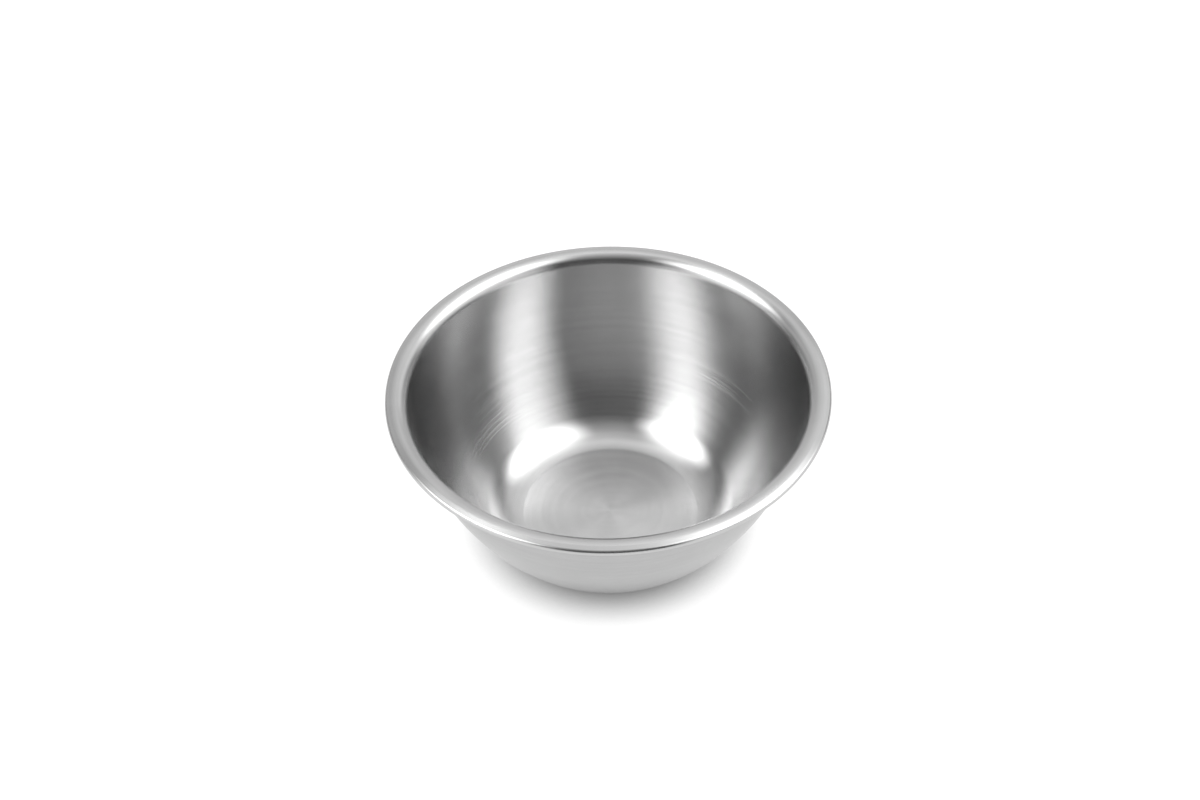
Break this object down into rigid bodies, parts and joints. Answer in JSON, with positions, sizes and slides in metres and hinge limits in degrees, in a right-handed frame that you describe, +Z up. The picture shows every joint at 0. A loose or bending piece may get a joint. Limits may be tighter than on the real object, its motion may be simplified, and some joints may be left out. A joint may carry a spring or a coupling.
{
  "type": "prep bowl",
  "caption": "Round stainless-steel prep bowl with a flat base, a bowed flaring wall and a crowned lip with a turned-under edge.",
  "frame": {"origin": "centre of the flat base, on the surface that the bowl stands on", "axes": "+Z up along the bowl's axis of symmetry; X and Y are level and interchangeable"},
  "size_m": [0.1841, 0.1842, 0.0762],
  "materials": {
    "floor_steel": "spun, fine concentric brushing",
    "wall_steel": "bright satin, brushed round the axis",
    "lip_steel": "bright satin"
  },
  "bodies": {
    "root": {"bowl_floor": "floor_steel", "base_cove": "wall_steel", "lower_wall": "wall_steel", "upper_wall": "wall_steel", "rim_flange": "lip_steel", "rolled_edge": "lip_steel"}
  },
  "joints": []
}
